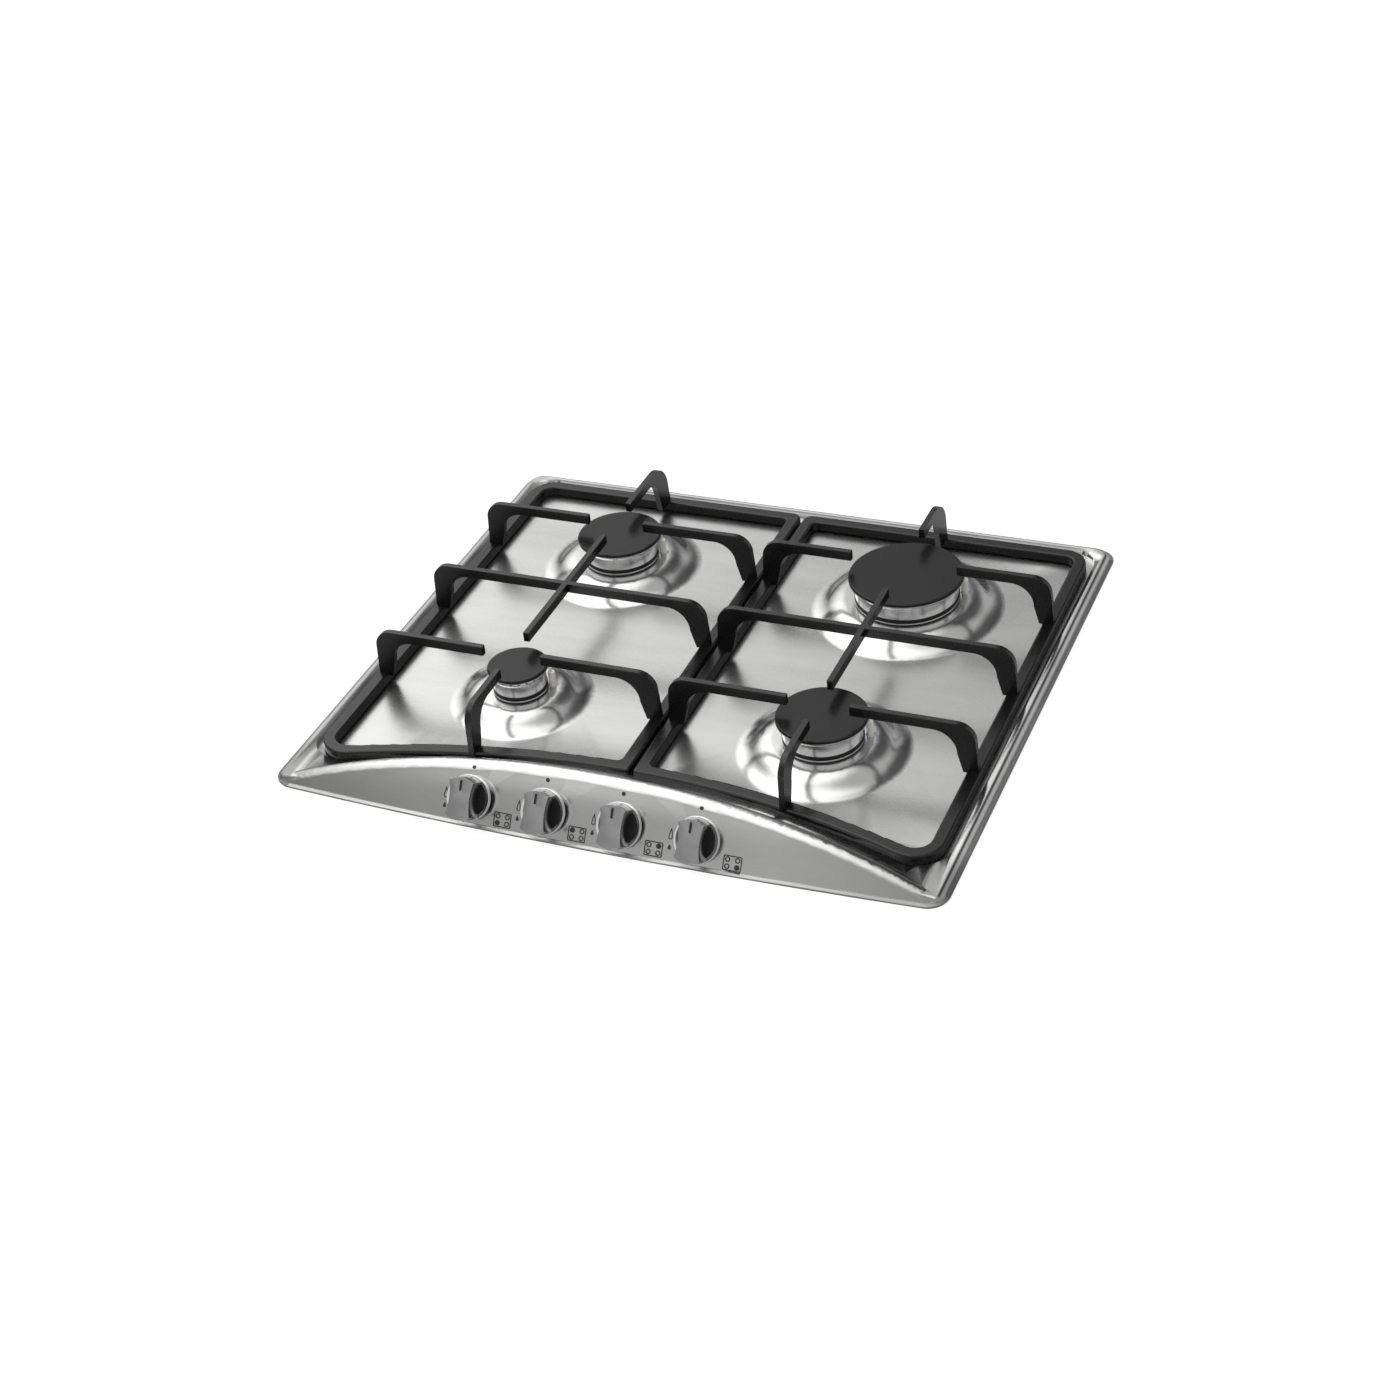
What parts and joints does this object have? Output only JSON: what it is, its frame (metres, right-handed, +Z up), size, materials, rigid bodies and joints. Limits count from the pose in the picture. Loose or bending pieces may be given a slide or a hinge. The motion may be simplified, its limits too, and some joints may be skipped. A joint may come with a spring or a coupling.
{
  "type": "gas cooktop",
  "caption": "Drop-in gas cooktop with a domed front console, turning push-in control knobs, lift-off pan supports and lift-off burner caps.",
  "frame": {"origin": "middle of the underside of the bottom tray, below the worktop", "axes": "+X to the right along the console, +Y to the back, +Z up out of the worktop"},
  "size_m": [0.58, 0.5289, 0.1052],
  "materials": {
    "plate_steel": "fine satin brushed stainless steel",
    "tray_steel": "galvanised sheet, dull",
    "seal_foam": "closed-cell foam tape",
    "support_enamel": "satin black enamel",
    "foot_rubber": "matt rubber",
    "cap_enamel": "semi-gloss black enamel",
    "head_aluminium": "turned and polished ring",
    "cup_aluminium": "die cast, dark coated",
    "nut_brass": "turned brass",
    "inlet_brass": "forged brass",
    "igniter_ceramic": "glazed white ceramic with a steel tip",
    "pipe_aluminium": "drawn tube",
    "pipe_steel": "zinc-plated tube",
    "tap_aluminium": "die cast",
    "spindle_steel": "turned",
    "spring_steel": "wire",
    "screw_steel": "zinc plated",
    "clamp_steel": "zinc-plated sheet",
    "knob_satin": "satin silver with bright edges",
    "unit_plastic": "moulded",
    "gland_plastic": "moulded nylon"
  },
  "bodies": {
    "base": {"bottom_tray": "tray_steel", "burner_cup_front_left": "cup_aluminium", "burner_cup_front_right": "cup_aluminium", "burner_cup_rear_left": "cup_aluminium", "burner_cup_rear_right": "cup_aluminium", "burner_screws": "screw_steel", "case_screws": "screw_steel", "cord_gland": "gland_plastic", "feed_pipe_front_left": "pipe_aluminium", "feed_pipe_front_right": "pipe_aluminium", "feed_pipe_rear_left": "pipe_aluminium", "feed_pipe_rear_right": "pipe_aluminium", "gas_rail": "pipe_steel", "igniter_front_left": "igniter_ceramic", "igniter_front_right": "igniter_ceramic", "igniter_rear_left": "igniter_ceramic", "igniter_rear_right": "igniter_ceramic", "injector_front_left": "nut_brass", "injector_front_right": "nut_brass", "injector_rear_left": "nut_brass", "injector_rear_right": "nut_brass", "inlet_elbow": "inlet_brass", "pipe_nuts": "nut_brass", "plate_brackets": "tray_steel", "rim_seal": "seal_foam", "spark_unit": "unit_plastic", "tap_body_front_left": "tap_aluminium", "tap_body_front_right": "tap_aluminium", "tap_body_rear_left": "tap_aluminium", "tap_body_rear_right": "tap_aluminium", "top_plate": "plate_steel", "worktop_clamps": "clamp_steel"},
    "support_left": {"pan_support_left": "support_enamel", "support_feet_left": "foot_rubber"},
    "support_right": {"pan_support_right": "support_enamel", "support_feet_right": "foot_rubber"},
    "head_rear_left": {"burner_head_rear_left": "head_aluminium"},
    "cap_rear_left": {"burner_cap_rear_left": "cap_enamel"},
    "head_rear_right": {"burner_head_rear_right": "head_aluminium"},
    "cap_rear_right": {"burner_cap_rear_right": "cap_enamel"},
    "head_front_left": {"burner_head_front_left": "head_aluminium"},
    "cap_front_left": {"burner_cap_front_left": "cap_enamel"},
    "head_front_right": {"burner_head_front_right": "head_aluminium"},
    "cap_front_right": {"burner_cap_front_right": "cap_enamel"},
    "tap_front_left": {"tap_plug_front_left": "nut_brass", "tap_spring_front_left": "spring_steel"},
    "knob_front_left": {"control_knob_front_left": "knob_satin", "tap_spindle_front_left": "spindle_steel"},
    "tap_rear_left": {"tap_plug_rear_left": "nut_brass", "tap_spring_rear_left": "spring_steel"},
    "knob_rear_left": {"control_knob_rear_left": "knob_satin", "tap_spindle_rear_left": "spindle_steel"},
    "tap_rear_right": {"tap_plug_rear_right": "nut_brass", "tap_spring_rear_right": "spring_steel"},
    "knob_rear_right": {"control_knob_rear_right": "knob_satin", "tap_spindle_rear_right": "spindle_steel"},
    "tap_front_right": {"tap_plug_front_right": "nut_brass", "tap_spring_front_right": "spring_steel"},
    "knob_front_right": {"control_knob_front_right": "knob_satin", "tap_spindle_front_right": "spindle_steel"}
  },
  "joints": [
    {"name": "support_left_lift", "type": "slide", "parent": "base", "child": "support_left", "axis": [0, 0, 1], "range_m": [0, 0.15]},
    {"name": "support_right_lift", "type": "slide", "parent": "base", "child": "support_right", "axis": [0, 0, 1], "range_m": [0, 0.15]},
    {"name": "head_rear_left_lift", "type": "slide", "parent": "base", "child": "head_rear_left", "axis": [0, 0, 1], "range_m": [0, 0.004]},
    {"name": "cap_rear_left_lift", "type": "slide", "parent": "head_rear_left", "child": "cap_rear_left", "axis": [0, 0, 1], "range_m": [0, 0.004]},
    {"name": "head_rear_right_lift", "type": "slide", "parent": "base", "child": "head_rear_right", "axis": [0, 0, 1], "range_m": [0, 0.004]},
    {"name": "cap_rear_right_lift", "type": "slide", "parent": "head_rear_right", "child": "cap_rear_right", "axis": [0, 0, 1], "range_m": [0, 0.004]},
    {"name": "head_front_left_lift", "type": "slide", "parent": "base", "child": "head_front_left", "axis": [0, 0, 1], "range_m": [0, 0.004]},
    {"name": "cap_front_left_lift", "type": "slide", "parent": "head_front_left", "child": "cap_front_left", "axis": [0, 0, 1], "range_m": [0, 0.004]},
    {"name": "head_front_right_lift", "type": "slide", "parent": "base", "child": "head_front_right", "axis": [0, 0, 1], "range_m": [0, 0.004]},
    {"name": "cap_front_right_lift", "type": "slide", "parent": "head_front_right", "child": "cap_front_right", "axis": [0, 0, 1], "range_m": [0, 0.004]},
    {"name": "knob_front_left_turn", "type": "hinge", "parent": "base", "child": "tap_front_left", "pos_m": [-0.104, -0.24287, 0.07024], "axis": [0, -0.829, 0.5592], "range_deg": [0, 120]},
    {"name": "knob_front_left_press", "type": "slide", "parent": "tap_front_left", "child": "knob_front_left", "axis": [0, 0.829, -0.5592], "range_m": [0, 0.0028], "stiffness_N_per_m": 800, "springref_m": -0.002, "deforming": ["tap_spring_front_left"]},
    {"name": "knob_rear_left_turn", "type": "hinge", "parent": "base", "child": "tap_rear_left", "pos_m": [-0.0386, -0.24287, 0.07024], "axis": [0, -0.829, 0.5592], "range_deg": [0, 120]},
    {"name": "knob_rear_left_press", "type": "slide", "parent": "tap_rear_left", "child": "knob_rear_left", "axis": [0, 0.829, -0.5592], "range_m": [0, 0.0028], "stiffness_N_per_m": 800, "springref_m": -0.002, "deforming": ["tap_spring_rear_left"]},
    {"name": "knob_rear_right_turn", "type": "hinge", "parent": "base", "child": "tap_rear_right", "pos_m": [0.0268, -0.24287, 0.07024], "axis": [0, -0.829, 0.5592], "range_deg": [0, 120]},
    {"name": "knob_rear_right_press", "type": "slide", "parent": "tap_rear_right", "child": "knob_rear_right", "axis": [0, 0.829, -0.5592], "range_m": [0, 0.0028], "stiffness_N_per_m": 800, "springref_m": -0.002, "deforming": ["tap_spring_rear_right"]},
    {"name": "knob_front_right_turn", "type": "hinge", "parent": "base", "child": "tap_front_right", "pos_m": [0.0922, -0.24287, 0.07024], "axis": [0, -0.829, 0.5592], "range_deg": [0, 120]},
    {"name": "knob_front_right_press", "type": "slide", "parent": "tap_front_right", "child": "knob_front_right", "axis": [0, 0.829, -0.5592], "range_m": [0, 0.0028], "stiffness_N_per_m": 800, "springref_m": -0.002, "deforming": ["tap_spring_front_right"]}
  ]
}
